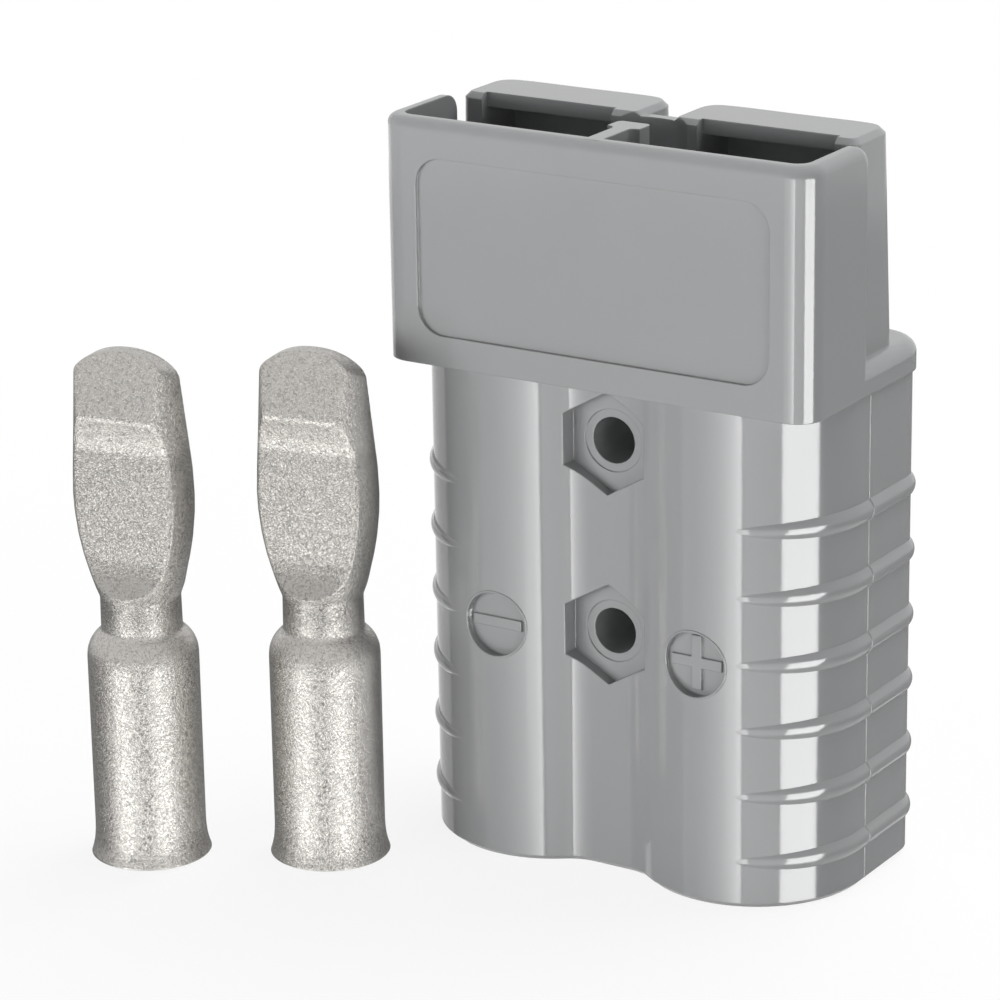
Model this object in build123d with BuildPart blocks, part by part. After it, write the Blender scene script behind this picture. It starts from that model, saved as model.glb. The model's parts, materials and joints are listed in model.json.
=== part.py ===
from build123d import *
import os
from math import atan2, cos, degrees, radians, sin, sqrt

# Two-pole battery power connector in millimetres: a moulded housing that stands on its cable end,
# two flat springs held inside it, and its two crimp contacts standing beside it.
# X runs across the two poles, the label side faces -Y and the mating end is up.
# The origin is the middle of the cable end, on the web between the two cable bores.

# Heights of the housing, from the cable end up
body_height = 53.9
flange_height = 3.2
tower_height = 22.9

# Body plan: distances in front of and behind the origin
body_width = 50.2
body_back = 13.0
body_corner_radius = 4.5
lobe_front = 13.45
lobe_radius = 12.6
valley_front = 10.1
valley_blend_share = 1.25
rear_valley_depth = 1.9
rear_valley_width = 14.0
rear_valley_blend = 1.2
foot_chamfer = 0.5

# Flange and hood
flange_proud = 0.35
flange_edge_radius = 1.5
hood_front = 13.5
hood_wall = 1.75
hood_corner_radius = 3.0
hood_inner_radius = 1.5
hood_end_radius = 2.0
rim_radius = 1.1

# Mating plane: the contact faces of two coupled connectors meet here, and plastic keeps back from it
mating_y = -0.6
mating_setback = 0.25

# Label panel, sunk into the front of the hood
panel_width = 41.6
panel_height = 18.85
panel_above_flange = 0.1
panel_radius = 3.0
panel_depth = 0.4

# Poles and cable bores
pole_x = 12.8
bore_radius = 7.5
bore_end_wall = 9.9
bore_mouth_chamfer = 0.8

# Towers that carry the blades
tower_gap = 3.8
tower_outer_foot = 23.9
tower_outer_top = 23.45
tower_back_foot = 8.5
tower_back_top = 7.8
tower_corner_radius = 2.5
tower_front_radius = 1.1
tower_edge_chamfer = 0.6
tower_back_wall = 1.6
chamber_inner = 5.1
chamber_outer = 20.95
roof_thickness = 1.6
roof_setback = 1.15

# Web between the towers, with a shallow scoop down its front
web_thickness = 2.3
web_drop = 0.5
scoop_half_width = 4.0
scoop_depth = 1.1

# Centre rib of the hood and its T-shaped head
rib_thickness = 1.8
rib_head_width = 3.8
rib_head_front = 6.4
rib_head_back = 3.95
rib_head_radius = 0.6
rib_root_radius = 0.8

# Finger ribs on the sides
finger_rib_count = 6
finger_rib_first = 5.2
finger_rib_pitch = 7.24
finger_rib_height = 2.2
finger_rib_flat = 0.9
finger_rib_proud = 0.5
finger_rib_root = 0.8
finger_rib_fade_angle = 66.0
finger_rib_end_angle = 80.0

# Screw holes and nut recesses, one above the other in the valley
screw_top_drop = 6.55
screw_spacing = 20.95
screw_hole_radius = 2.5
nut_flats = 9.7
nut_floor_depth = 1.3
nut_seat_radius = 3.4
nut_seat_depth = 0.15
screw_head_radius = 5.0
screw_head_depth = 1.3

# Polarity discs on the lobes
disc_x = 12.1
disc_radius = 3.6
disc_depth = 0.4
mark_length = 5.9
mark_width = 1.15
mark_proud = 0.3

# Crimp contacts: heights are measured from the open end of the barrel
contact_height = 56.8
barrel_radius = 5.95
barrel_height = 22.8
barrel_flare_radius = 6.5
barrel_flare_height = 3.2
barrel_bore_radius = 4.75
barrel_bore_depth = 20.0
barrel_mouth_chamfer = 0.5
shoulder_radius = 5.35
shoulder_height = 24.7
neck_radius = 4.3
neck_start = 25.8
neck_end = 29.4
blank_waist_radius = 5.8
blank_waist = 34.2
blank_radius = 6.6
blank_widest = 41.0
blank_tip_radius = 5.95
crown_radius = 12.0
crown_corner_radius = 2.5
pad_depth = 3.1
pad_start = 33.6
pad_end = 46.0
cutter_radius = 5.0
hump_rise = 3.7
hump_depth = 4.4
hump_radius = 1.0
hollow_sag = 0.35
nose_depth = 2.6
blade_face = 0.9
blade_face_start = 33.5
blade_taper_start = 44.0
blade_tip_depth = 0.8
contact_turn = 9.5
contact_places = {"contact_negative": (-45.5, -30.7), "contact_positive": (-28.65, -21.05)}

# Room around an inserted contact and a spring
blade_clearance = 0.3
neck_clearance = 0.4
spring_side_clearance = 0.1

# Flat springs: heights are measured from the top of the flange
spring_thickness = 0.8
spring_width = 9.0
spring_foot_depth = 11.1
spring_bend_height = 0.4
spring_tip_height = 9.7
spring_lean = 2.6
spring_curl_height = 1.6
spring_curl_back = 0.4
spring_bend_radius = 9.0
spring_curl_radius = 3.0

# Room within which a corner or edge is picked by its place
pick_room = 0.01

# Derived positions
flange_top = body_height + flange_height
housing_height = flange_top + tower_height
hood_width = body_width + 2 * flange_proud
hood_rear_y = mating_y - mating_setback
tower_front_y = mating_y + mating_setback
lobe_x = body_width / 2 - lobe_radius
lobe_y = lobe_radius - lobe_front
flange_back = body_back + flange_proud
pole_y = mating_y + blade_face
bore_depth = body_height - bore_end_wall
contact_base = bore_depth - barrel_height
chamber_back_y = tower_back_top - tower_back_wall
passage_front_y = mating_y - blade_clearance
passage_back_y = pole_y + hump_depth + blade_clearance
passage_radius = blank_radius + blade_clearance
screw_top = body_height - screw_top_drop
screw_heights = [screw_top - screw_spacing, screw_top]
disc_height = screw_heights[0]
valley_corner_x = lobe_x - sqrt(lobe_radius**2 - (valley_front + lobe_y) ** 2)
spring_foot = flange_top - spring_foot_depth
sides = {"negative": -1, "positive": 1}


# Hood: a three-sided wall around the space where the other connector's towers go
with BuildPart() as hood:
    with BuildSketch(Plane.XY.offset(body_height)) as hood_plan:
        with Locations((0, -hood_front)):
            Rectangle(hood_width, hood_front + hood_rear_y, align=(Align.CENTER, Align.MIN))
        fillet(hood_plan.vertices().group_by(Axis.Y)[0], hood_corner_radius)
    extrude(amount=housing_height - body_height)
    with BuildSketch(Plane.XY.offset(body_height)) as cavity_plan:
        with Locations((0, hood_wall - hood_front)):
            Rectangle(hood_width - 2 * hood_wall, hood_front, align=(Align.CENTER, Align.MIN))
        fillet(cavity_plan.vertices().group_by(Axis.Y)[0], hood_inner_radius)
    extrude(amount=housing_height - body_height, mode=Mode.SUBTRACT)
    wall_ends = hood.edges().group_by(Axis.Z)[-1].filter_by(Axis.X).group_by(Axis.Y)[-1]
    fillet(wall_ends, hood_end_radius)
    wall_middle_x = (hood_width - hood_wall) / 2
    wall_middle_y = hood_wall / 2 - hood_front
    outer_rim = hood.edges().group_by(Axis.Z)[-1].filter_by(
        lambda e: abs(e.center().X) > wall_middle_x or e.center().Y < wall_middle_y
    )
    fillet(outer_rim, rim_radius)

    # Label panel, sunk into the front wall
    with BuildSketch(Plane.XZ.offset(hood_front)):
        with Locations((0, flange_top + panel_above_flange + panel_height / 2)):
            RectangleRounded(panel_width, panel_height, panel_radius)
    extrude(amount=-panel_depth, mode=Mode.SUBTRACT)


# Tower on the +X side: a drafted box with a chamber that opens towards the hood
with BuildPart() as tower:
    tower_levels = [
        (flange_top, tower_outer_foot, tower_back_foot),
        (housing_height, tower_outer_top, tower_back_top),
    ]
    for level, outer_x, back_y in tower_levels:
        with BuildSketch(Plane.XY.offset(level)) as tower_plan:
            with Locations(((tower_gap / 2 + outer_x) / 2, (tower_front_y + back_y) / 2)):
                Rectangle(outer_x - tower_gap / 2, back_y - tower_front_y)
            fillet(tower_plan.vertices().group_by(Axis.Y)[-1], tower_corner_radius)
            fillet(tower_plan.vertices().group_by(Axis.Y)[0], tower_front_radius)
    loft()
    chamfer(tower.faces().sort_by(Axis.Z)[-1].edges(), tower_edge_chamfer)

    # Chamber for the blade, under the roof
    chamber_x = (chamber_inner + chamber_outer) / 2
    chamber_width = chamber_outer - chamber_inner
    with BuildSketch(Plane.XY.offset(flange_top)):
        with Locations((chamber_x, chamber_back_y)):
            Rectangle(chamber_width, 2 * (chamber_back_y - tower_front_y), align=(Align.CENTER, Align.MAX))
    extrude(amount=housing_height - roof_thickness - flange_top, mode=Mode.SUBTRACT)

    # The lip of the roof stands back from the ends of the side walls
    with BuildSketch(Plane.XY.offset(flange_top)):
        with Locations((chamber_x, tower_front_y + roof_setback)):
            Rectangle(chamber_width, 2 * roof_setback, align=(Align.CENTER, Align.MAX))
    extrude(amount=housing_height - flange_top, mode=Mode.SUBTRACT)


# Centre rib: it runs back from the front wall of the hood and ends in a T-shaped head
with BuildPart() as centre_rib:
    with BuildSketch(Plane.XY.offset(body_height)) as rib_plan:
        rib_front = hood_front - hood_wall / 2
        with Locations((0, -rib_head_front)):
            Rectangle(rib_thickness, rib_front - rib_head_front, align=(Align.CENTER, Align.MAX))
            Rectangle(rib_head_width, rib_head_front - rib_head_back, align=(Align.CENTER, Align.MIN))
        fillet(rib_plan.vertices().group_by(Axis.Y)[-1], rib_head_radius)
        root_corners = rib_plan.vertices().filter_by(
            lambda v: abs(v.Y + rib_head_front) < pick_room and abs(v.X) < rib_head_width / 2 - pick_room
        )
        fillet(root_corners, rib_root_radius)
    extrude(amount=housing_height - body_height)


# Finger ribs on the +X side: bars with sloping edges whose ends sink into the lobe and the rear corner
with BuildPart() as finger_ribs:
    rib_x = body_width / 2
    fade_shift = finger_rib_proud / (1 - cos(radians(finger_rib_fade_angle)))
    front_x = lobe_x + fade_shift
    rear_x = rib_x - body_corner_radius + fade_shift
    rear_y = body_back - body_corner_radius
    for number in range(finger_rib_count):
        rib_height = finger_rib_first + number * finger_rib_pitch
        with BuildLine(Plane.XY.offset(rib_height)) as rib_path:
            CenterArc((front_x, lobe_y), rib_x - front_x, -finger_rib_end_angle, finger_rib_end_angle)
            Line((rib_x, lobe_y), (rib_x, rear_y))
            CenterArc((rear_x, rear_y), rib_x - rear_x, 0, finger_rib_end_angle)
        rib_wire = rib_path.wire()
        with BuildSketch(Plane(origin=rib_wire @ 0, x_dir=(0, 0, 1), z_dir=rib_wire % 0)):
            with BuildLine():
                Polyline(
                    (-finger_rib_height / 2, -finger_rib_root),
                    (finger_rib_height / 2, -finger_rib_root),
                    (finger_rib_height / 2, 0),
                    (finger_rib_flat / 2, finger_rib_proud),
                    (-finger_rib_flat / 2, finger_rib_proud),
                    (-finger_rib_height / 2, 0),
                    close=True,
                )
            make_face()
        sweep(path=rib_wire)


with BuildPart() as housing:
    # Body: two round lobes with a valley between them in front, flat sides, a shallow valley behind
    with BuildSketch() as body_plan:
        with Locations((0, lobe_y)):
            Rectangle(body_width, body_back - lobe_y, align=(Align.CENTER, Align.MIN))
        fillet(body_plan.vertices().group_by(Axis.Y)[-1], body_corner_radius)
        with Locations((-lobe_x, lobe_y), (lobe_x, lobe_y)):
            Circle(lobe_radius)
        with Locations((0, -valley_front)):
            Rectangle(2 * lobe_x, valley_front + lobe_y, align=(Align.CENTER, Align.MIN))
        valley_corners = body_plan.vertices().filter_by(lambda v: abs(v.Y + valley_front) < pick_room)
        fillet(valley_corners, valley_blend_share * valley_corner_x)
        with Locations((0, body_back)):
            Rectangle(rear_valley_width, 2 * rear_valley_depth, mode=Mode.SUBTRACT)
        rear_corners = body_plan.vertices().filter_by(
            lambda v: abs(abs(v.X) - rear_valley_width / 2) < pick_room
        )
        fillet(rear_corners.group_by(Axis.Y)[0], rear_valley_blend)
    extrude(amount=body_height)
    chamfer(housing.faces().sort_by(Axis.Z)[0].edges(), foot_chamfer)
    add(finger_ribs.part)
    mirror(finger_ribs.part, about=Plane.YZ)

    # Flange that stands proud all round
    with BuildSketch(Plane.XY.offset(body_height)) as flange_plan:
        with Locations((0, -hood_front)):
            Rectangle(hood_width, hood_front + flange_back, align=(Align.CENTER, Align.MIN))
        fillet(flange_plan.vertices().group_by(Axis.Y)[0], hood_corner_radius)
        fillet(flange_plan.vertices().group_by(Axis.Y)[-1], body_corner_radius + flange_proud)
    extrude(amount=flange_top - body_height)
    fillet(housing.faces().sort_by(Axis.Z)[-1].edges(), flange_edge_radius)

    # Hood, towers, web and centre rib
    add(hood.part)
    add(tower.part)
    mirror(tower.part, about=Plane.YZ)
    add(centre_rib.part)
    with BuildSketch(Plane.XY.offset(flange_top)):
        with Locations((0, tower_front_y)):
            Rectangle(2 * chamber_inner, web_thickness, align=(Align.CENTER, Align.MIN))
    extrude(amount=housing_height - web_drop - flange_top)
    scoop_radius = (scoop_half_width**2 + scoop_depth**2) / (2 * scoop_depth)
    with BuildSketch(Plane.XY.offset(flange_top)):
        with Locations((0, tower_front_y + scoop_depth - scoop_radius)):
            Circle(scoop_radius)
        with Locations((0, tower_front_y + scoop_depth)):
            Rectangle(2 * scoop_half_width, 2 * scoop_depth, align=(Align.CENTER, Align.MAX), mode=Mode.INTERSECT)
    extrude(amount=housing_height - flange_top, mode=Mode.SUBTRACT)

    # Cable bores with the passages for blade, neck and spring above them
    with BuildSketch():
        with Locations((-pole_x, pole_y), (pole_x, pole_y)):
            Circle(bore_radius)
    extrude(amount=bore_depth, mode=Mode.SUBTRACT)
    bore_mouths = housing.edges().group_by(Axis.Z)[0].filter_by(GeomType.CIRCLE)
    bore_mouths = bore_mouths.filter_by(lambda e: abs(e.radius - bore_radius) < pick_room)
    chamfer(bore_mouths, bore_mouth_chamfer)
    for side in sides.values():
        with BuildSketch(Plane.XY.offset(bore_depth)):
            with Locations((side * pole_x, pole_y)):
                Circle(passage_radius)
            with Locations((side * pole_x, passage_front_y)):
                passage_depth = passage_back_y - passage_front_y
                passage_align = (Align.CENTER, Align.MIN)
                Rectangle(2 * passage_radius, passage_depth, align=passage_align, mode=Mode.INTERSECT)
        extrude(amount=flange_top - bore_depth, mode=Mode.SUBTRACT)
    with BuildSketch(Plane.XY.offset(bore_depth)):
        with Locations((-pole_x, pole_y), (pole_x, pole_y)):
            Circle(neck_radius + neck_clearance)
    extrude(amount=contact_base + blade_face_start - bore_depth, mode=Mode.SUBTRACT)
    with BuildSketch(Plane.XY.offset(spring_foot)):
        with Locations((-pole_x, chamber_back_y), (pole_x, chamber_back_y)):
            pocket_width = spring_width + 2 * spring_side_clearance
            Rectangle(pocket_width, chamber_back_y - pole_y, align=(Align.CENTER, Align.MAX))
    extrude(amount=flange_top - spring_foot, mode=Mode.SUBTRACT)

    # Nut recesses, screw holes and the counterbores for screw heads behind
    nut_floor = valley_front - nut_floor_depth
    screw_points = [(0, height) for height in screw_heights]
    with BuildSketch(Plane.XZ.offset(nut_floor)):
        with Locations(*screw_points):
            RegularPolygon(nut_flats / 2, 6, major_radius=False, rotation=90)
    extrude(amount=lobe_front - nut_floor, mode=Mode.SUBTRACT)
    with BuildSketch(Plane.XZ.offset(nut_floor)):
        with Locations(*screw_points):
            Circle(nut_seat_radius)
    extrude(amount=-nut_seat_depth, mode=Mode.SUBTRACT)
    with BuildSketch(Plane.XZ.offset(nut_floor)):
        with Locations(*screw_points):
            Circle(screw_hole_radius)
    extrude(amount=-(nut_floor + body_back), mode=Mode.SUBTRACT)
    with BuildSketch(Plane.XZ.offset(rear_valley_depth + screw_head_depth - body_back)):
        with Locations(*screw_points):
            Circle(screw_head_radius)
    extrude(amount=-(rear_valley_depth + screw_head_depth), mode=Mode.SUBTRACT)

    # Polarity discs: flat floors sunk into the round lobes, minus on the left and plus on the right
    disc_edge = disc_radius + abs(disc_x - lobe_x)
    disc_floor = sqrt(lobe_radius**2 - disc_edge**2) - lobe_y - disc_depth
    with BuildSketch(Plane.XZ.offset(disc_floor)):
        with Locations((-disc_x, disc_height), (disc_x, disc_height)):
            Circle(disc_radius)
    extrude(amount=lobe_front - disc_floor, mode=Mode.SUBTRACT)
    with BuildSketch(Plane.XZ.offset(disc_floor)):
        with Locations((-disc_x, disc_height), (disc_x, disc_height)):
            Rectangle(mark_length, mark_width)
        with Locations((disc_x, disc_height)):
            Rectangle(mark_width, mark_length)
    extrude(amount=mark_proud)

housing.part.label = "housing"


def contact_plane(place, direction):
    """Upright plane through the axis of a contact, facing its hook side or its side."""
    turn = radians(contact_turn)
    width = (cos(turn), sin(turn), 0)
    depth = (-sin(turn), cos(turn), 0)
    if direction == "front":
        return Plane(origin=(*place, 0), x_dir=width, z_dir=(sin(turn), -cos(turn), 0))
    return Plane(origin=(*place, 0), x_dir=depth, z_dir=width)


def make_contact(label, place):
    """Crimp contact: a turned barrel and neck, and a blank pressed to a blade with a hook."""
    axis = Axis((*place, 0), (0, 0, 1))
    front = contact_plane(place, "front")
    side = contact_plane(place, "side")
    reach = 2 * blank_radius
    top = contact_height + crown_corner_radius

    # The corners of the crowned end touch its arc and the sides of the blade
    crown_centre = contact_height - crown_radius
    corner_x = blank_tip_radius - crown_corner_radius
    corner_height = crown_centre + sqrt((crown_radius - crown_corner_radius) ** 2 - corner_x**2)
    crown_angle = degrees(atan2(corner_height - crown_centre, corner_x))
    with BuildPart() as contact:
        # Turned blank: flared barrel, shoulder, neck and a swelling head
        with BuildSketch(front):
            with BuildLine():
                Polyline(
                    (0, 0),
                    (barrel_flare_radius, 0),
                    (barrel_radius, barrel_flare_height),
                    (barrel_radius, barrel_height),
                    (shoulder_radius, shoulder_height),
                    (neck_radius, neck_start),
                    (neck_radius, neck_end),
                    (blank_waist_radius, blank_waist),
                    (blank_radius, blank_widest),
                    (blank_tip_radius, corner_height),
                    (blank_tip_radius, top),
                    (0, top),
                    close=True,
                )
            make_face()
        revolve(axis=axis)

        # Barrel bore with a broken edge at its mouth
        with BuildSketch(front):
            with BuildLine():
                Polyline(
                    (0, 0),
                    (barrel_bore_radius + barrel_mouth_chamfer, 0),
                    (barrel_bore_radius, barrel_mouth_chamfer),
                    (barrel_bore_radius, barrel_bore_depth),
                    (0, barrel_bore_depth),
                    close=True,
                )
            make_face()
        revolve(axis=axis, mode=Mode.SUBTRACT)

        # Hook side: a flat pad that runs out at the neck, a hollow, a hump and a nose that falls back
        with BuildSketch(side) as hook_side:
            with BuildLine():
                run_out = CenterArc((-pad_depth - cutter_radius, pad_start), cutter_radius, -90, 90)
                pad = Line(run_out @ 1, (-pad_depth, pad_end))
                hollow = SagittaArc(pad @ 1, (-hump_depth, pad_end + hump_rise), hollow_sag)
                nose = Line(hollow @ 1, (-nose_depth, top))
                Polyline(nose @ 1, (-reach, top), (-reach, pad_start - cutter_radius), run_out @ 0)
            make_face()
            hump = front.from_local_coords((0, pad_end + hump_rise, hump_depth))
            fillet(hook_side.vertices().sort_by_distance(hump)[0], hump_radius)
        extrude(amount=reach, both=True, mode=Mode.SUBTRACT)

        # Mating side: the flat contact face, then a lead-in taper to the tip
        with BuildSketch(side):
            with BuildLine():
                run_in = CenterArc((blade_face + cutter_radius, blade_face_start), cutter_radius, 180, 90)
                face = Line(run_in @ 0, (blade_face, blade_taper_start))
                taper = Line(face @ 1, (-blade_tip_depth, top))
                Polyline(taper @ 1, (reach, top), (reach, blade_face_start - cutter_radius), run_in @ 1)
            make_face()
        extrude(amount=reach, both=True, mode=Mode.SUBTRACT)

        # Crowned end with rounded corners, blanked across the blade
        with BuildSketch(front):
            with BuildLine():
                right = CenterArc((corner_x, corner_height), crown_corner_radius, 0, crown_angle)
                middle = CenterArc((0, crown_centre), crown_radius, crown_angle, 180 - 2 * crown_angle)
                left = CenterArc((-corner_x, corner_height), crown_corner_radius, 180 - crown_angle, crown_angle)
                Polyline(
                    left @ 1,
                    (-reach, corner_height),
                    (-reach, top),
                    (reach, top),
                    (reach, corner_height),
                    right @ 0,
                )
            make_face()
        extrude(amount=reach, both=True, mode=Mode.SUBTRACT)
    contact.part.label = label
    return contact.part


def make_spring(label, side):
    """Flat spring: its foot stands in the housing behind the blade and its free end leans forward."""
    with BuildPart() as spring:
        foot_y = chamber_back_y - spring_thickness / 2
        tip_y = foot_y - spring_lean
        tip = flange_top + spring_tip_height
        with BuildLine(Plane.YZ.offset(side * pole_x)) as spring_path:
            FilletPolyline(
                (foot_y, spring_foot),
                (foot_y, flange_top + spring_bend_height),
                (tip_y, tip - spring_curl_height),
                (tip_y + spring_curl_back, tip),
                radius=(spring_bend_radius, spring_curl_radius),
            )
        spring_wire = spring_path.wire()
        with BuildSketch(Plane(origin=spring_wire @ 0, x_dir=(1, 0, 0), z_dir=(0, 0, 1))):
            Rectangle(spring_width, spring_thickness)
        sweep(path=spring_wire)
    spring.part.label = label
    return spring.part


parts = [housing.part]
parts += [make_contact(label, place) for label, place in contact_places.items()]
parts += [make_spring(f"spring_{pole}", side) for pole, side in sides.items()]

os.makedirs("parts", exist_ok=True)
for part in parts:
    export_step(part, f"parts/{part.label}.step")
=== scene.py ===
"""Looks of a two-pole battery power connector: grey moulded housing, leaf springs and two crimp contacts.

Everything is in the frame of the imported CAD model: +X across the poles towards the plus side, -Y towards the
label side, +Z up towards the mating end, the floor at z = 0. Sizes written here are in millimetres, and MM
turns them to the metres of the frame.
"""

import json
from math import radians

import bpy
import numpy as np
from bpy.props import FloatProperty, FloatVectorProperty, IntProperty, PointerProperty
from mathutils import Matrix, Vector

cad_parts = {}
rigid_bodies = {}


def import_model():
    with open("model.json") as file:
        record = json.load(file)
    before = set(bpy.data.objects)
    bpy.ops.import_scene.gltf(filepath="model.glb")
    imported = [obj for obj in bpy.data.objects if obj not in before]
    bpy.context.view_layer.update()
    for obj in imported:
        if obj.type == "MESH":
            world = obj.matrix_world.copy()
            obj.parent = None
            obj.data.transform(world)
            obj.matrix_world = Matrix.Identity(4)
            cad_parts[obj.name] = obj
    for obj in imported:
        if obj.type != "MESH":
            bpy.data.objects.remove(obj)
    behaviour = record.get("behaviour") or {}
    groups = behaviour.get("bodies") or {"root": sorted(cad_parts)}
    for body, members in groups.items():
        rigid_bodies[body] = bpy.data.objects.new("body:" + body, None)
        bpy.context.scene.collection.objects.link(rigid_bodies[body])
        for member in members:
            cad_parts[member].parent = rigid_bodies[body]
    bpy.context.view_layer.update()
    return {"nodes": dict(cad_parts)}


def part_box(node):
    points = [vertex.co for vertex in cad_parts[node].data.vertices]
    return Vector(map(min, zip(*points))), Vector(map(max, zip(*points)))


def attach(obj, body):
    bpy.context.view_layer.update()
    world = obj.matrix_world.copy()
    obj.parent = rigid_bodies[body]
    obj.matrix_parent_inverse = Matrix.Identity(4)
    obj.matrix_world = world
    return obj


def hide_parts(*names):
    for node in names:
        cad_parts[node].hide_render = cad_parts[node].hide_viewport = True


bl_info = {
    "name": "Battery Connector",
    "version": (1, 0, 0),
    "blender": (4, 5, 0),
    "location": "View3D > Sidebar > Connector",
    "description": "Dresses the CAD model of a two-pole battery connector with its crimp contacts",
    "category": "Object",
}

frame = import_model()

MM = 0.001


# Settings

def linear(hex_colour):
    """sRGB hex to linear RGB: a straight line near black and a power of 2.4 above it."""
    values = np.array([int(hex_colour[i : i + 2], 16) for i in (1, 3, 5)]) / 255
    curve = np.where(values <= 0.04045, values / 12.92, ((values + 0.055) / 1.055) ** 2.4)
    return tuple(float(v) for v in curve)


def length(name, description, default_mm):
    """A size property, kept in metres."""
    return FloatProperty(
        name=name, description=description, default=default_mm * MM, min=0, unit="LENGTH", subtype="DISTANCE"
    )


def angle(name, description, default_degrees):
    """An angle property, kept in radians."""
    return FloatProperty(
        name=name, description=description, default=radians(default_degrees), subtype="ANGLE"
    )


def colour(name, description, hex_colour):
    """A colour property, kept as linear RGB."""
    return FloatVectorProperty(
        name=name, description=description, default=linear(hex_colour), size=3, min=0, max=1, subtype="COLOR"
    )


def factor(name, description, default):
    """A property from 0 to 1."""
    return FloatProperty(name=name, description=description, default=default, min=0, max=1, subtype="FACTOR")


class HousingSettings(bpy.types.PropertyGroup):
    """Colour and finish of the moulded housing"""

    grey: colour("Plastic Grey", "Colour of the moulded housing", "#929394")
    roughness: factor("Roughness", "Gloss of the mould polish, 0 is a mirror", 0.11)
    edge_radius: length("Edge Radius", "Rounding of the edges that the mould leaves", 0.22)


class ContactSettings(bpy.types.PropertyGroup):
    """Colours and finish of the metal pieces, and the grid of the contacts"""

    silver: colour("Silver", "Colour of the silver plating", "#CFCCC7")
    spring_steel: colour("Spring Steel", "Colour of the leaf springs", "#A9A9A8")
    roughness: factor("Roughness", "Satin of the tumbled plating", 0.13)
    corner_power: FloatProperty(
        name="Corner Power", description="How crisply the pressed flats meet the round sides",
        default=44, min=4, max=80,
    )
    columns: IntProperty(name="Columns", description="Grid lines round a contact", default=288, min=32)


class StageSettings(bpy.types.PropertyGroup):
    """Floor and camera"""

    floor: colour("Floor", "Colour of the studio floor", "#F2F2F2")
    floor_size: length("Floor Size", "Side of the square floor", 3000)
    white_share: factor("White Share", "How far the floor beside the object is plain white", 0.86)
    azimuth: angle("Azimuth", "Camera turn round the object", 32.6889)
    elevation: angle("Elevation", "Camera height above the horizon", 18.3325)
    roll: angle("Roll", "Camera tilt about its own axis", -0.9426)
    distance: length("Distance", "Camera to the point it looks at", 447.562)
    focal_length: FloatProperty(
        name="Focal Length", description="Camera lens on a 36 mm sensor, in millimetres", default=148.58
    )


# Materials

POLYCARBONATE = "Moulded polycarbonate, grey"
SILVER_PLATE = "Silver plate on tumbled copper"

# Stretch of the blade that the dies press, in millimetres: its middle, and how far from there it is pressed
# in full and at all
PRESSED = {"middle": 36.5, "full": 8.5, "end": 10.5}


def add_node(material, kind, inputs=None, **settings):
    """Adds a node. settings are its attributes; inputs are values, or sockets that are linked to it."""
    tree = material.node_tree
    node = tree.nodes.new(kind)
    for name, value in settings.items():
        setattr(node, name, value)
    for name, value in (inputs or {}).items():
        if isinstance(value, bpy.types.NodeSocket):
            tree.links.new(value, node.inputs[name])
        else:
            node.inputs[name].default_value = value
    return node


def new_material(name):
    """A node material with nothing in it."""
    material = bpy.data.materials.new(name)
    material.use_nodes = True
    material.node_tree.nodes.clear()
    return material


def moulded_polycarbonate(settings):
    """Polycarbonate from a polished mould."""
    material = new_material(POLYCARBONATE)
    place = add_node(material, "ShaderNodeTexCoord").outputs["Object"]

    # flow marks, one in 14 mm: they keep large walls from looking painted
    flow = add_node(material, "ShaderNodeTexNoise", {"Vector": place, "Scale": 0.07 / MM, "Detail": 3})
    grey = np.array(settings.grey)
    tint = add_node(
        material, "ShaderNodeMix",
        {"Factor": flow.outputs["Fac"], "A": (*(grey * 0.97), 1), "B": (*np.minimum(grey * 1.03, 1), 1)},
        data_type="RGBA",
    )

    # skin of the polished mould: it breaks the highlights up a little. The real one is too fine to show,
    # so it is drawn with 1.4 grains in a millimetre
    skin = add_node(material, "ShaderNodeTexNoise", {"Vector": place, "Scale": 1.4 / MM, "Detail": 2})
    gloss = add_node(
        material, "ShaderNodeMapRange",
        {
            "Value": skin.outputs["Fac"],
            "To Min": settings.roughness - 0.03,
            "To Max": settings.roughness + 0.03,
        },
    )

    # small radius that a mould leaves on every edge: it gives the edges a thin line of light
    soft = add_node(material, "ShaderNodeBevel", {"Radius": settings.edge_radius}, samples=6)
    bump = add_node(
        material, "ShaderNodeBump",
        {
            "Height": skin.outputs["Fac"],
            "Strength": 0.08,
            "Distance": 0.02 * MM,
            "Normal": soft.outputs["Normal"],
        },
    )

    # the high index of polycarbonate gives crisp bands of light on the round walls
    shader = add_node(
        material, "ShaderNodeBsdfPrincipled",
        {
            "Base Color": tint.outputs["Result"],
            "Roughness": gloss.outputs["Result"],
            "IOR": 1.58,
            "Normal": bump.outputs["Normal"],
        },
    )
    add_node(material, "ShaderNodeOutputMaterial", {"Surface": shader.outputs["BSDF"]})
    return material


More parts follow.
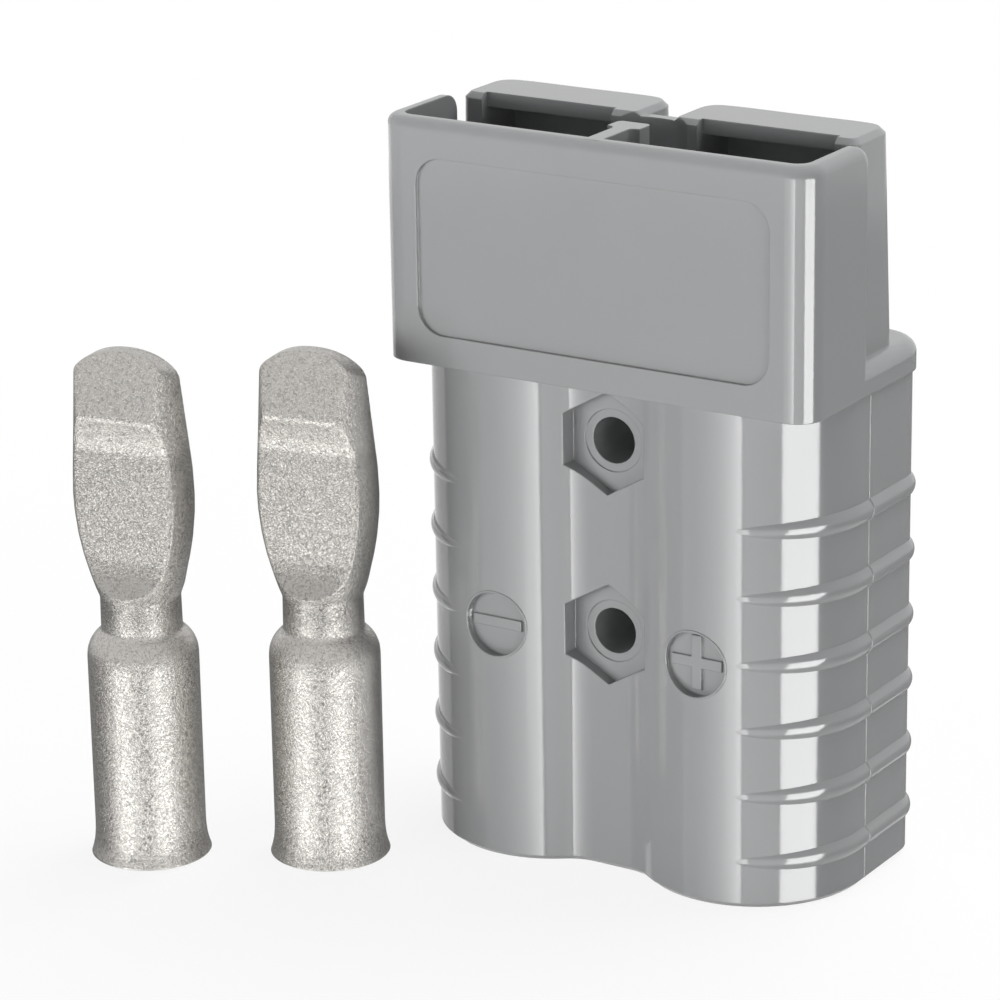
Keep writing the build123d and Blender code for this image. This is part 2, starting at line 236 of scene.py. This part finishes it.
def silver_plate(settings):
    """Silver on pressed and tumbled copper."""
    material = new_material(SILVER_PLATE)
    place = add_node(material, "ShaderNodeTexCoord").outputs["Object"]

    # crinkled grain that tumbling hammers in, 3.1 grains in a millimetre with finer crinkles in them: it
    # breaks the reflections into sparkling bands
    grain = add_node(
        material, "ShaderNodeTexNoise",
        {"Vector": place, "Scale": 3.1 / MM, "Detail": 4, "Roughness": 0.6, "Distortion": 1.4},
    )
    gloss = add_node(
        material, "ShaderNodeMapRange",
        {
            "Value": grain.outputs["Fac"],
            "From Min": 0.35,
            "From Max": 0.65,
            "To Min": settings.roughness - 0.04,
            "To Max": settings.roughness + 0.12,
        },
    )
    bump = add_node(
        material, "ShaderNodeBump",
        {"Height": grain.outputs["Fac"], "Strength": 1.0, "Distance": 0.085 * MM},
    )

    # the pits of the grain are stained darker
    stain = add_node(
        material, "ShaderNodeMapRange", {"Value": grain.outputs["Fac"], "From Min": 0.38, "From Max": 0.5}
    )
    silver = np.array(settings.silver)
    tint = add_node(
        material, "ShaderNodeMix",
        {"Factor": stain.outputs["Result"], "A": (*(silver * 0.7), 1), "B": (*silver, 1)},
        data_type="RGBA",
    )

    # the dies leave the pressed blade duller than the barrel and the end
    height = add_node(material, "ShaderNodeSeparateXYZ", {"Vector": place}).outputs["Z"]
    above = add_node(material, "ShaderNodeMath", {0: height, 1: PRESSED["middle"] * MM}, operation="SUBTRACT")
    away = add_node(material, "ShaderNodeMath", {0: above.outputs[0]}, operation="ABSOLUTE")
    pressed = add_node(
        material, "ShaderNodeMapRange",
        {
            "Value": away.outputs[0],
            "From Min": PRESSED["full"] * MM,
            "From Max": PRESSED["end"] * MM,
            "To Min": 1.0,
            "To Max": 0.0,
        },
        interpolation_type="SMOOTHSTEP",
    )
    skin = add_node(
        material, "ShaderNodeMix",
        {"Factor": pressed.outputs["Result"], "A": tint.outputs["Result"], "B": (0.8, 0.8, 0.8, 1)},
        data_type="RGBA", blend_type="MULTIPLY",
    )

    shader = add_node(
        material, "ShaderNodeBsdfPrincipled",
        {
            "Base Color": skin.outputs["Result"],
            "Metallic": 1.0,
            "Roughness": gloss.outputs["Result"],
            "Normal": bump.outputs["Normal"],
        },
    )
    add_node(material, "ShaderNodeOutputMaterial", {"Surface": shader.outputs["BSDF"]})
    return material


def rolled_spring_steel(settings):
    """Stainless strip from the rolling mill."""
    material = new_material("Rolled spring steel")
    place = add_node(material, "ShaderNodeTexCoord").outputs["Object"]

    # fine lines along the strip, 6 in a millimetre and about 17 mm long: they stretch the reflections
    # across the strip
    lines_per_metre = (6 / MM, 6 / MM, 0.06 / MM)
    stretch = add_node(material, "ShaderNodeMapping", {"Vector": place, "Scale": lines_per_metre})
    lines = add_node(
        material, "ShaderNodeTexNoise", {"Vector": stretch.outputs["Vector"], "Scale": 1, "Detail": 2}
    )
    gloss = add_node(
        material, "ShaderNodeMapRange", {"Value": lines.outputs["Fac"], "To Min": 0.2, "To Max": 0.4}
    )
    bump = add_node(
        material, "ShaderNodeBump", {"Height": lines.outputs["Fac"], "Strength": 0.3, "Distance": 0.01 * MM}
    )
    shader = add_node(
        material, "ShaderNodeBsdfPrincipled",
        {
            "Base Color": (*settings.spring_steel, 1),
            "Metallic": 1.0,
            "Roughness": gloss.outputs["Result"],
            "Normal": bump.outputs["Normal"],
        },
    )
    add_node(material, "ShaderNodeOutputMaterial", {"Surface": shader.outputs["BSDF"]})
    return material


# Surfaces

def closed_surfaces(name, surfaces):
    """One mesh of several surfaces in millimetres, each given as rows of points and the pole at either end.

    The columns of a surface close on themselves. Neighbouring points of two rows make a quad. A fan of
    triangles closes each end on its pole, and without poles the last row meets the first, as in a ring.
    """
    points, faces, offset = [], [], 0
    for rows, *poles in surfaces:
        count, columns = rows.shape[:2]
        total = count * columns
        here = np.arange(columns)
        after = np.roll(here, -1)
        lower = np.arange(count - 1 if poles else count)[:, None] * columns
        upper = (lower + columns) % total
        quads = np.stack([lower + here, lower + after, upper + after, upper + here], axis=-1) + offset
        faces += quads.reshape(-1, 4).tolist()
        if poles:
            last = total - columns
            first_pole, last_pole = np.full(columns, total), np.full(columns, total + 1)
            first_fan = np.stack([after, here, first_pole], axis=-1) + offset
            last_fan = np.stack([last + here, last + after, last_pole], axis=-1) + offset
            faces += first_fan.tolist() + last_fan.tolist()
        points.append(np.vstack([rows.reshape(-1, 3), *poles]) * MM)
        offset += total + len(poles)
    mesh = bpy.data.meshes.new(name)
    mesh.from_pydata(np.concatenate(points).tolist(), [], faces)
    mesh.shade_smooth()
    piece = bpy.data.objects.new(name, mesh)
    bpy.context.scene.collection.objects.link(piece)
    return piece


# Housing, in millimetres and as in the CAD model

# Flat side of the body, and the round lobe in plan that carries a polarity disc
SIDE_X = 25.1
LOBE = {"x": 12.5, "y": -0.85, "radius": 12.6}

# Finger ribs: their middle heights, half height, how far they stand out and how deep they are rooted
RIB_HEIGHTS = 5.2 + 7.24 * np.arange(6)
RIB_HALF_HEIGHT = 1.15
RIB_PROUD = 0.58
RIB_ROOT = 0.7
RIB_SECTION_POINTS = 21

# Arcs of the plan line of a rib, which touch the flat side, with the degrees that they run from it
RIB_ARCS = (
    {"y": LOBE["y"], "radius": 11.757, "from": -80, "to": 0, "points": 56},
    {"y": 8.5, "radius": 3.657, "from": 0, "to": 80, "points": 24},
)

# Bead that the parting line of the mould leaves, sunk a little into the wall
PARTING = {"y": 0.20, "radius": 0.12, "bottom": 0.5, "top": 53.9, "sunk": 0.02, "rows": 700, "sides": 10}

# Bead round a polarity disc
DISC = {"x": 12.1, "z": 26.4, "radius": 3.62, "bead": 0.13, "rows": 144, "sides": 12}


def rib_profile(z):
    """How far the ribs stand out of the side at the height z: a flat arc of a circle over each rib."""
    radius = (RIB_HALF_HEIGHT**2 + RIB_PROUD**2) / (2 * RIB_PROUD)
    nearest = np.abs(np.subtract.outer(z, RIB_HEIGHTS)).min(axis=-1)
    arc = np.sqrt(np.maximum(radius**2 - nearest**2, 0)) - (radius - RIB_PROUD)
    return np.where(nearest < RIB_HALF_HEIGHT, np.maximum(arc, 0), 0)


def rib_path():
    """Plan line of a rib and its outward normals: an arc that sinks into the lobe, the flat side, a rear arc.

    Each arc is smaller than the corner it runs round and touches the flat side, so the rib fades into the
    wall.
    """
    line, normals = [], []
    for arc in RIB_ARCS:
        turn = np.radians(np.linspace(arc["from"], arc["to"], arc["points"]))
        normal = np.stack([np.cos(turn), np.sin(turn)], axis=-1)
        line.append(np.array([SIDE_X - arc["radius"], arc["y"]]) + arc["radius"] * normal)
        normals.append(normal)
    return np.concatenate(line), np.concatenate(normals)


def finger_rib(height, side):
    """One rib as rows and poles: a half-round roll carried along the plan line of the rib."""
    line, normal = rib_path()
    z = RIB_HALF_HEIGHT * np.sin(np.linspace(-np.pi / 2, np.pi / 2, RIB_SECTION_POINTS))
    out = rib_profile(z + RIB_HEIGHTS[0])
    z, out = np.concatenate([z, z[::-1]]), np.concatenate([out, np.full(RIB_SECTION_POINTS, -RIB_ROOT)])
    plan = line[:, None, :] + out[None, :, None] * normal[:, None, :]
    rows = np.concatenate([plan, np.broadcast_to(height + z, plan.shape[:2])[..., None]], axis=-1)
    rows = rows[::-1] if side > 0 else rows * [-1, 1, 1]
    return rows, rows[0].mean(axis=0), rows[-1].mean(axis=0)


def parting_line(side):
    """One parting line as rows and poles: a thin round bead carried up the side and over the ribs."""
    z = np.linspace(PARTING["bottom"], PARTING["top"], PARTING["rows"])
    x = SIDE_X + rib_profile(z)
    slope = np.gradient(x, z)
    tangent = np.stack([slope, np.ones_like(z)], axis=-1) / np.hypot(slope, 1)[:, None]
    section = np.linspace(0, 2 * np.pi, PARTING["sides"], endpoint=False)
    out = PARTING["radius"] * np.cos(section)
    rows = np.stack([
        side * (x[:, None] + out * tangent[:, 1, None] - PARTING["sunk"]),
        PARTING["y"] + side * PARTING["radius"] * np.sin(section) + np.zeros((len(z), 1)),
        z[:, None] - out * tangent[:, 0, None],
    ], axis=-1)
    return rows, rows[0].mean(axis=0), rows[-1].mean(axis=0)


def disc_rim(side):
    """The fine bead round a polarity disc as rows that close to a ring.

    Its middle line is the circle of the disc, seen from the front, laid on the round lobe: x and z run round
    the circle, and y follows from the circle of the lobe in plan. A round section is carried along it.
    """
    turn = np.linspace(0, 2 * np.pi, DISC["rows"], endpoint=False)
    radial = np.stack([np.cos(turn), np.zeros_like(turn), np.sin(turn)], axis=-1)
    line = np.array([DISC["x"], 0, DISC["z"]]) + DISC["radius"] * radial
    outward = np.stack([line[:, 0] - LOBE["x"], np.zeros_like(turn), np.zeros_like(turn)], axis=-1)
    outward[:, 1] = -np.sqrt(LOBE["radius"] ** 2 - outward[:, 0] ** 2)
    line[:, 1] = LOBE["y"] + outward[:, 1]
    outward /= LOBE["radius"]
    radial -= (radial * outward).sum(axis=1, keepdims=True) * outward
    radial /= np.linalg.norm(radial, axis=1, keepdims=True)
    section = np.linspace(0, 2 * np.pi, DISC["sides"], endpoint=False)
    along_outward = np.cos(section)[None, :, None] * outward[:, None]
    along_radial = np.sin(section)[None, :, None] * radial[:, None]
    rows = line[:, None] + DISC["bead"] * (along_outward + along_radial)
    return rows if side > 0 else rows[::-1] * [-1, 1, 1]


class CONNECTOR_OT_housing(bpy.types.Operator):
    """Gives the housing its plastic, its round finger ribs, its parting lines and the rims of its discs"""

    bl_idname = "connector.housing"
    bl_label = "Dress Housing"

    def execute(self, context):
        plastic = moulded_polycarbonate(context.scene.connector_housing)
        housing = frame["nodes"]["housing"]
        housing.data.materials.clear()
        housing.data.materials.append(plastic)
        ribs = [finger_rib(height, side) for height in RIB_HEIGHTS for side in (-1, 1)]
        lines = [parting_line(side) for side in (-1, 1)]
        rims = [(disc_rim(side),) for side in (-1, 1)]
        for name, surfaces in (("finger_ribs", ribs), ("parting_lines", lines), ("disc_rims", rims)):
            piece = closed_surfaces(name, surfaces)
            piece.data.materials.append(plastic)
            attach(piece, "root")
        return {"FINISHED"}


# Contacts, in millimetres above the open end of the barrel. Each profile is a list of height and distance:
# the radius of the barrel, and the distances of the two pressed sides of the blade from its middle plane

BARREL = [(0, 6.5), (0.8, 6.25), (1.6, 6.08), (2.6, 5.98), (3.6, 5.95), (22.6, 5.95), (23.4, 5.87),
          (24.2, 5.58), (24.8, 5.18), (25.3, 4.7), (25.5, 4.35), (29.3, 4.3), (30.4, 4.72), (31.9, 5.18),
          (34.1, 5.79), (36.4, 6.24), (39.0, 6.53), (41.0, 6.6), (43.5, 6.5), (48.0, 6.24), (53.6, 5.95),
          (60.0, 5.7)]
HOOK = [(28.6, 8.1), (28.7, 7.1), (29.0, 6.14), (29.6, 5.1), (30.35, 4.3), (31.2, 3.71), (32.2, 3.3),
        (33.6, 3.1), (46.0, 3.1), (47.2, 3.42), (48.4, 3.86), (49.7, 4.42), (58.2, 2.6)]
MATING = [(28.5, 5.9), (28.6, 4.9), (28.9, 3.94), (29.5, 2.9), (30.25, 2.1), (31.1, 1.51), (32.1, 1.1),
          (33.5, 0.9), (44.0, 0.9), (58.2, -0.8)]
BARREL_BLUR = 0.16
BLADE_BLUR = 0.22

# The bore from its end down to the mouth and out over the round lip of the barrel, as height and radius
BORE_END = 20.8
BORE = [(20.6, 1.2), (20.4, 2.4), (20.2, 3.6), (20.05, 4.4), (19.9, 4.7), (19.6, 4.75), (13, 4.75), (7, 4.75),
        (1.2, 4.75), (0.5, 4.9), (0.12, 5.25), (0.02, 5.5), (0, 5.9), (0.01, 6.2), (0.06, 6.38), (0.14, 6.46)]

# Where the columns of the blade start, and the superellipse of the crowned end with the radius of its edge
BLADE_START = 27.5
CROWN = {"top": 56.8, "middle": 0.3, "height": 4.3, "half_width": 5.98, "power": 2.15, "edge": 0.35}

# Rows of the grid, close together where the lip and the shoulder of the barrel turn, and rounds of working
# out where the columns end
BARREL_LEVELS = np.concatenate([
    np.linspace(0.3, 4, 16),
    np.linspace(5, 22, 9),
    np.linspace(22.5, 26, 24),
    np.linspace(26.3, BLADE_START, 5),
])
BLADE_ROWS = 190
EDGE_ROWS = 8
CAP_ROWS = 23
CROWN_ROUNDS = 12

# Both contacts stand turned a little about the upright, as in the CAD model
CONTACT_TURN = radians(9.5)


def softened(curve, step, blur):
    """The curve, sampled at even steps, averaged over a bell-shaped window that rounds its corners."""
    reach = int(4 * blur / step) + 1
    bell = np.exp(-0.5 * (np.arange(-reach, reach + 1) * step / blur) ** 2)
    return np.convolve(np.pad(curve, reach, mode="edge"), bell / bell.sum(), mode="valid")


def soft_lookup(profile, blur):
    """A function of height through the points of a profile, with corners rounded over the blur."""
    heights, values = zip(*profile)
    step, margin = 0.05, 5
    grid = np.arange(heights[0] - margin, heights[-1] + margin, step)
    curve = softened(np.interp(grid, heights, values), step, blur)
    return lambda z: np.interp(z, grid, curve)


def crown_height(x):
    """Height of the crowned end over a distance x from its middle: a superellipse."""
    share = np.clip(np.abs(x - CROWN["middle"]) / CROWN["half_width"], 0, 1) ** CROWN["power"]
    return CROWN["top"] - CROWN["height"] * (1 - (1 - share) ** (1 / CROWN["power"]))


def contact_levels(columns, corner_power):
    """A function of height that gives a level of the contact: one point for each column round it.

    A level is a circle of the barrel's profile, which the flats of the hook side and of the mating side cut
    in the blade. Seen from the middle of the level, the distances to circle and flat are joined as
    (circle^-p + flat^-p)^(-1/p), which rounds the corner between them.
    """
    around = np.linspace(0, 2 * np.pi, columns, endpoint=False)
    across, up = np.cos(around), np.sin(around)
    barrel = soft_lookup(BARREL, BARREL_BLUR)
    hook = soft_lookup(HOOK, BLADE_BLUR)
    mating = soft_lookup(MATING, BLADE_BLUR)

    def level(z):
        """The points at the heights z, one for each column."""
        radius, front, back = barrel(z), hook(z), mating(z)
        middle = (np.minimum(back, radius) - np.minimum(front, radius)) / 2
        to_circle = -middle * up + np.sqrt(radius**2 - (middle * across) ** 2)
        flat = np.where(up > 0, back - middle, front + middle)
        to_flat = flat / np.maximum(np.abs(up), 1e-6)
        reach = (to_circle**-corner_power + to_flat**-corner_power) ** (-1 / corner_power)
        return np.stack(np.broadcast_arrays(reach * across, middle + reach * up, z), axis=-1)

    return level


def contact_surface(columns, corner_power):
    """A contact as rows and poles: down its bore, round the lip, up the outside and over the crowned end.

    The columns of the blade end at the height of the crown, and the rows then turn over its edge by a quarter
    circle and shrink to its middle.
    """
    around = np.linspace(0, 2 * np.pi, columns, endpoint=False)
    heights, radii = (np.array(values, float)[:, None] for values in zip(*BORE))
    bore = np.stack(np.broadcast_arrays(radii * np.cos(around), radii * np.sin(around), heights), axis=-1)

    level = contact_levels(columns, corner_power)
    barrel = np.stack([level(np.full(columns, z)) for z in BARREL_LEVELS])

    # where a column ends and how high the crown is there depend on each other, so they are found by turns
    end = np.full(columns, CROWN["top"])
    for _ in range(CROWN_ROUNDS):
        end = crown_height(level(end)[:, 0]) - CROWN["edge"]
    steps = np.linspace(0, 1, BLADE_ROWS + 1)[1:]
    blade = np.stack([level(BLADE_START + step * (end - BLADE_START)) for step in steps])

    rim = blade[-1]
    along = np.roll(rim, -1, axis=0) - np.roll(rim, 1, axis=0)
    outward = np.stack([along[:, 1], -along[:, 0]], axis=-1)
    outward /= np.linalg.norm(outward, axis=1, keepdims=True)
    turn = np.linspace(0, np.pi / 2, EDGE_ROWS + 1)[1:, None]
    inset = CROWN["edge"] * (1 - np.cos(turn))
    x = rim[:, 0] - inset * outward[:, 0]
    y = rim[:, 1] - inset * outward[:, 1]
    edge = np.stack([x, y, crown_height(x) - CROWN["edge"] * (1 - np.sin(turn))], axis=-1)

    shrink = np.linspace(1, 0, CAP_ROWS + 2)[1:-1, None]
    centre_y = edge[-1, :, 1].mean()
    x = shrink * edge[-1, :, 0]
    y = centre_y + shrink * (edge[-1, :, 1] - centre_y)
    cap = np.stack([x, y, crown_height(x)], axis=-1)
    rows = np.concatenate([bore, barrel, blade, edge, cap])
    return rows, np.array([0, 0, BORE_END]), np.array([0, centre_y, CROWN["top"]])


class CONNECTOR_OT_contacts(bpy.types.Operator):
    """Makes the two crimp contacts and dresses the leaf springs"""

    bl_idname = "connector.contacts"
    bl_label = "Make Contacts"

    def execute(self, context):
        settings = context.scene.connector_contacts
        silver = silver_plate(settings)
        contact = contact_surface(settings.columns, settings.corner_power)
        cosine, sine = np.cos(CONTACT_TURN), np.sin(CONTACT_TURN)
        rotation = np.array([[cosine, sine, 0], [-sine, cosine, 0], [0, 0, 1]])
        for name in ("contact_negative", "contact_positive"):
            low, high = (np.array(corner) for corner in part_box(name))
            place = np.array([*((low + high) / 2)[:2], 0]) / MM
            piece = closed_surfaces(name + "_plated", [[points @ rotation + place for points in contact]])
            piece.data.materials.append(silver)
            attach(piece, "root")
            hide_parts(name)
        steel = rolled_spring_steel(settings)
        for name in ("spring_negative", "spring_positive"):
            spring = frame["nodes"][name]
            spring.data.materials.clear()
            spring.data.materials.append(steel)
        return {"FINISHED"}


# Stage, in millimetres

# The floor fades from paper with a shadow to plain white between these distances from the origin
FLOOR_FADE = (40, 200)

# Dark ring round the stage, with the strength of its glow
SKIRT = {"radius": 420, "bottom": -240, "top": -25, "sides": 96, "strength": 0.24}

# Camera of the photograph: the width of its sensor, and the point that it looks at
SENSOR_WIDTH = 36
CAMERA_TARGET = (-19.6856, 0, 35.1153)


def facing(place, target):
    """Rotation that turns -Z towards the target."""
    return (Vector(target) - Vector(place)).to_track_quat("-Z", "Y").to_euler()


def on_circle(azimuth, radius, height):
    """A point round the housing: azimuth 0 is in front of the label and 90 on the plus side."""
    turn = radians(azimuth)
    return (radius * np.sin(turn), -radius * np.cos(turn), height)


def add_rectangle(name, half_width, half_height):
    """A flat rectangle round the origin, facing up, from sizes in metres."""
    corners = [(-half_width, -half_height, 0), (half_width, -half_height, 0),
               (half_width, half_height, 0), (-half_width, half_height, 0)]
    mesh = bpy.data.meshes.new(name)
    mesh.from_pydata(corners, [], [(0, 1, 2, 3)])
    rectangle = bpy.data.objects.new(name, mesh)
    bpy.context.scene.collection.objects.link(rectangle)
    return rectangle


def show_in_gloss_alone(piece):
    """Hides a piece of the stage from the camera and from matt surfaces."""
    piece.visible_camera = piece.visible_diffuse = piece.visible_shadow = False


def made_of(material_name):
    """A collection of the pieces made of this material, for a card that is seen in them alone."""
    collection = bpy.data.collections.new(material_name)
    for piece in bpy.context.scene.objects:
        if any(slot.material and slot.material.name == material_name for slot in piece.material_slots):
            collection.objects.link(piece)
    return collection


def add_softbox(name, place, target, width, height, strength):
    """A soft lamp for the matt part of the surfaces, with its strength as radiance."""
    data = bpy.data.lights.new(name, "AREA")
    data.shape = "RECTANGLE"
    data.size = width * MM
    data.size_y = height * MM
    data.energy = strength * data.size * data.size_y * np.pi
    light = bpy.data.objects.new(name, data)
    light.location = Vector(place) * MM
    light.rotation_euler = facing(place, target)
    light.visible_camera = False
    light.visible_glossy = False
    bpy.context.scene.collection.objects.link(light)


def add_card(name, place, target, width, height, strengths, pieces):
    """A glowing card seen in the gloss of these pieces alone, with its strengths from left to right."""
    half_width, half_height = width * MM / 2, height * MM / 2
    card = add_rectangle(name, half_width, half_height)
    card.location = Vector(place) * MM
    card.rotation_euler = facing(place, target)
    card.light_linking.receiver_collection = pieces
    show_in_gloss_alone(card)

    material = new_material("Softbox cloth, " + name)
    place_on_card = add_node(material, "ShaderNodeTexCoord").outputs["Object"]
    across = add_node(material, "ShaderNodeSeparateXYZ", {"Vector": place_on_card}).outputs["X"]
    share = add_node(
        material, "ShaderNodeMapRange", {"Value": across, "From Min": -half_width, "From Max": half_width}
    )
    curve = add_node(material, "ShaderNodeFloatCurve", {"Value": share.outputs["Result"]})
    points = curve.mapping.curves[0].points
    top = max(strengths)
    points[0].location, points[-1].location = (0, strengths[0] / top), (1, strengths[-1] / top)
    for place_across, strength in list(zip(np.linspace(0, 1, len(strengths)), strengths))[1:-1]:
        points.new(place_across, strength / top)
    curve.mapping.update()
    glow = add_node(material, "ShaderNodeMath", {0: curve.outputs["Value"], 1: top}, operation="MULTIPLY")
    emission = add_node(material, "ShaderNodeEmission", {"Strength": glow.outputs[0]})

    # the pieces that the card doesn't light look through it
    clear = add_node(material, "ShaderNodeBsdfTransparent")
    both = add_node(
        material, "ShaderNodeAddShader", {0: emission.outputs["Emission"], 1: clear.outputs["BSDF"]}
    )
    add_node(material, "ShaderNodeOutputMaterial", {"Surface": both.outputs["Shader"]})
    card.data.materials.append(material)


def add_floor(settings):
    """White paper that fades into the white background away from the object, and keeps its shadow near it."""
    floor = add_rectangle("floor", settings.floor_size / 2, settings.floor_size / 2)
    material = new_material("Studio floor, white paper")
    place = add_node(material, "ShaderNodeTexCoord").outputs["Object"]
    away = add_node(material, "ShaderNodeVectorMath", {0: place}, operation="LENGTH")
    fade = add_node(
        material, "ShaderNodeMapRange",
        {
            "Value": away.outputs["Value"],
            "From Min": FLOOR_FADE[0] * MM,
            "From Max": FLOOR_FADE[1] * MM,
            "To Min": settings.white_share,
            "To Max": 1.0,
        },
        interpolation_type="SMOOTHSTEP",
    )
    paper = add_node(material, "ShaderNodeBsdfDiffuse", {"Color": (*settings.floor, 1)})
    white = add_node(material, "ShaderNodeEmission", {"Strength": 1.0})
    clear = add_node(material, "ShaderNodeBsdfTransparent")
    seen = add_node(
        material, "ShaderNodeMixShader",
        {"Fac": fade.outputs["Result"], 1: paper.outputs["BSDF"], 2: white.outputs["Emission"]},
    )

    # the camera sees the fading paper, the gloss looks through to the world, and other rays find paper
    path = add_node(material, "ShaderNodeLightPath")
    to_camera = add_node(
        material, "ShaderNodeMixShader",
        {"Fac": path.outputs["Is Camera Ray"], 1: paper.outputs["BSDF"], 2: seen.outputs["Shader"]},
    )
    to_gloss = add_node(
        material, "ShaderNodeMixShader",
        {"Fac": path.outputs["Is Glossy Ray"], 1: to_camera.outputs["Shader"], 2: clear.outputs["BSDF"]},
    )
    add_node(material, "ShaderNodeOutputMaterial", {"Surface": to_gloss.outputs["Shader"]})
    floor.data.materials.append(material)


def add_skirt():
    """A dark ring below the horizon, seen in the gloss alone, for the contrast of the bright metal."""
    sides = SKIRT["sides"]
    turn = np.linspace(0, 2 * np.pi, sides, endpoint=False)
    ring = SKIRT["radius"] * MM * np.stack([np.cos(turn), np.sin(turn)], axis=-1)
    low, high = (np.column_stack([ring, np.full(sides, SKIRT[end] * MM)]) for end in ("bottom", "top"))
    here = np.arange(sides)
    after = np.roll(here, -1)
    mesh = bpy.data.meshes.new("skirt")
    faces = np.stack([after, here, here + sides, after + sides], axis=-1)
    mesh.from_pydata(np.vstack([low, high]).tolist(), [], faces.tolist())
    skirt = bpy.data.objects.new("skirt", mesh)
    show_in_gloss_alone(skirt)
    bpy.context.scene.collection.objects.link(skirt)
    material = new_material("Studio skirt, grey cloth")
    cloth = add_node(material, "ShaderNodeEmission", {"Strength": SKIRT["strength"]})
    add_node(material, "ShaderNodeOutputMaterial", {"Surface": cloth.outputs["Emission"]})
    mesh.materials.append(material)


def add_background():
    """A pale world, at full strength for the camera, gloss and glass, that lights the object faintly."""
    world = bpy.data.worlds.new("Studio")
    bpy.context.scene.world = world
    world.use_nodes = True
    world.node_tree.nodes.clear()
    path = add_node(world, "ShaderNodeLightPath").outputs
    seen = add_node(
        world, "ShaderNodeMath", {0: path["Is Camera Ray"], 1: path["Is Glossy Ray"]}, operation="MAXIMUM"
    )
    seen = add_node(
        world, "ShaderNodeMath", {0: seen.outputs[0], 1: path["Is Transmission Ray"]}, operation="MAXIMUM"
    )
    strength = add_node(world, "ShaderNodeMapRange", {"Value": seen.outputs[0], "To Min": 0.2, "To Max": 1.0})
    background = add_node(world, "ShaderNodeBackground", {"Strength": strength.outputs["Result"]})
    add_node(world, "ShaderNodeOutputWorld", {"Surface": background.outputs["Background"]})


def add_lights():
    """Softboxes for the matt part of the surfaces, and cards for the bands in the gloss."""
    middle = (0, 0, 38)

    # each softbox has its place, target, width, height and radiance
    add_softbox("front softbox", on_circle(-28, 560, 60), middle, 460, 160, 11.3)
    add_softbox("right softbox", on_circle(66, 520, 60), middle, 240, 200, 4.4)
    add_softbox("back softbox", on_circle(222, 560, 120), middle, 420, 320, 2.0)
    add_softbox("top softbox", (90, 200, 460), middle, 420, 420, 4.8)

    # each card has its place, target, width, height, radiances and pieces. The cards end below the top faces,
    # which would mirror them towards a camera behind the housing
    plastic, metal = made_of(POLYCARBONATE), made_of(SILVER_PLATE)
    low, beside = (0, 0, -85), (-40, -26, -122)
    add_card("front card", on_circle(-12, 262, -85), low, 300, 230, (0.6, 0.6, 1.5, 3.6, 8.8), plastic)
    add_card("middle card", on_circle(36, 256, -85), low, 146, 230, (1.8, 1.8, 1.8), plastic)
    add_card("right card", on_circle(71, 250, -85), low, 156, 230, (10.5, 10.5, 10.5), plastic)
    add_card("left card", on_circle(-125, 300, -85), low, 400, 230, (0.6, 0.7, 0.6), plastic)
    add_card("left metal card", (-88, -256, -122), beside, 130, 154, (3.1, 4.1, 3.1), metal)
    add_card("right metal card", (188, -118, -122), beside, 106, 154, (4.2, 4.8, 4.2), metal)


def add_camera(settings):
    """The camera of the photograph, turned round its target by azimuth, elevation and roll."""
    data = bpy.data.cameras.new("photo camera")
    data.sensor_width = SENSOR_WIDTH
    data.lens = settings.focal_length
    data.clip_start = 10 * MM
    camera = bpy.data.objects.new("photo camera", data)
    bpy.context.scene.collection.objects.link(camera)
    azimuth = Matrix.Rotation(settings.azimuth, 3, "Z")
    elevation = Matrix.Rotation(radians(90) - settings.elevation, 3, "X")
    rotation = azimuth @ elevation @ Matrix.Rotation(settings.roll, 3, "Z")
    camera.rotation_euler = rotation.to_euler()
    camera.location = Vector(CAMERA_TARGET) * MM + rotation @ Vector((0, 0, settings.distance))
    bpy.context.scene.camera = camera


class CONNECTOR_OT_stage(bpy.types.Operator):
    """Sets up the floor, the lights, the white background and the camera"""

    bl_idname = "connector.stage"
    bl_label = "Set Up Stage"

    def execute(self, context):
        settings = context.scene.connector_stage
        add_floor(settings)
        add_skirt()
        add_background()
        add_lights()
        add_camera(settings)
        context.scene.view_settings.view_transform = "Standard"
        return {"FINISHED"}


# Add-on

class CONNECTOR_PT_sidebar(bpy.types.Panel):
    """Lists the operators and sizes of the connector"""

    bl_idname = "CONNECTOR_PT_sidebar"
    bl_label = "Battery Connector"
    bl_space_type = "VIEW_3D"
    bl_region_type = "UI"
    bl_category = "Connector"

    def draw(self, context):
        for group, operator in (
            (context.scene.connector_housing, "connector.housing"),
            (context.scene.connector_contacts, "connector.contacts"),
            (context.scene.connector_stage, "connector.stage"),
        ):
            box = self.layout.box()
            box.operator(operator)
            for name in group.__annotations__:
                box.prop(group, name)


CLASSES = (
    HousingSettings,
    ContactSettings,
    StageSettings,
    CONNECTOR_OT_housing,
    CONNECTOR_OT_contacts,
    CONNECTOR_OT_stage,
    CONNECTOR_PT_sidebar,
)


def register():
    """Adds the classes to Blender, and the settings to its scenes."""
    for cls in CLASSES:
        bpy.utils.register_class(cls)
    bpy.types.Scene.connector_housing = PointerProperty(type=HousingSettings)
    bpy.types.Scene.connector_contacts = PointerProperty(type=ContactSettings)
    bpy.types.Scene.connector_stage = PointerProperty(type=StageSettings)


def unregister():
    """Takes the settings and the classes out again."""
    del bpy.types.Scene.connector_stage
    del bpy.types.Scene.connector_contacts
    del bpy.types.Scene.connector_housing
    for cls in reversed(CLASSES):
        bpy.utils.unregister_class(cls)


def main():
    register()
    bpy.ops.connector.housing()
    bpy.ops.connector.contacts()
    bpy.ops.connector.stage()


if __name__ == "__main__":
    main()
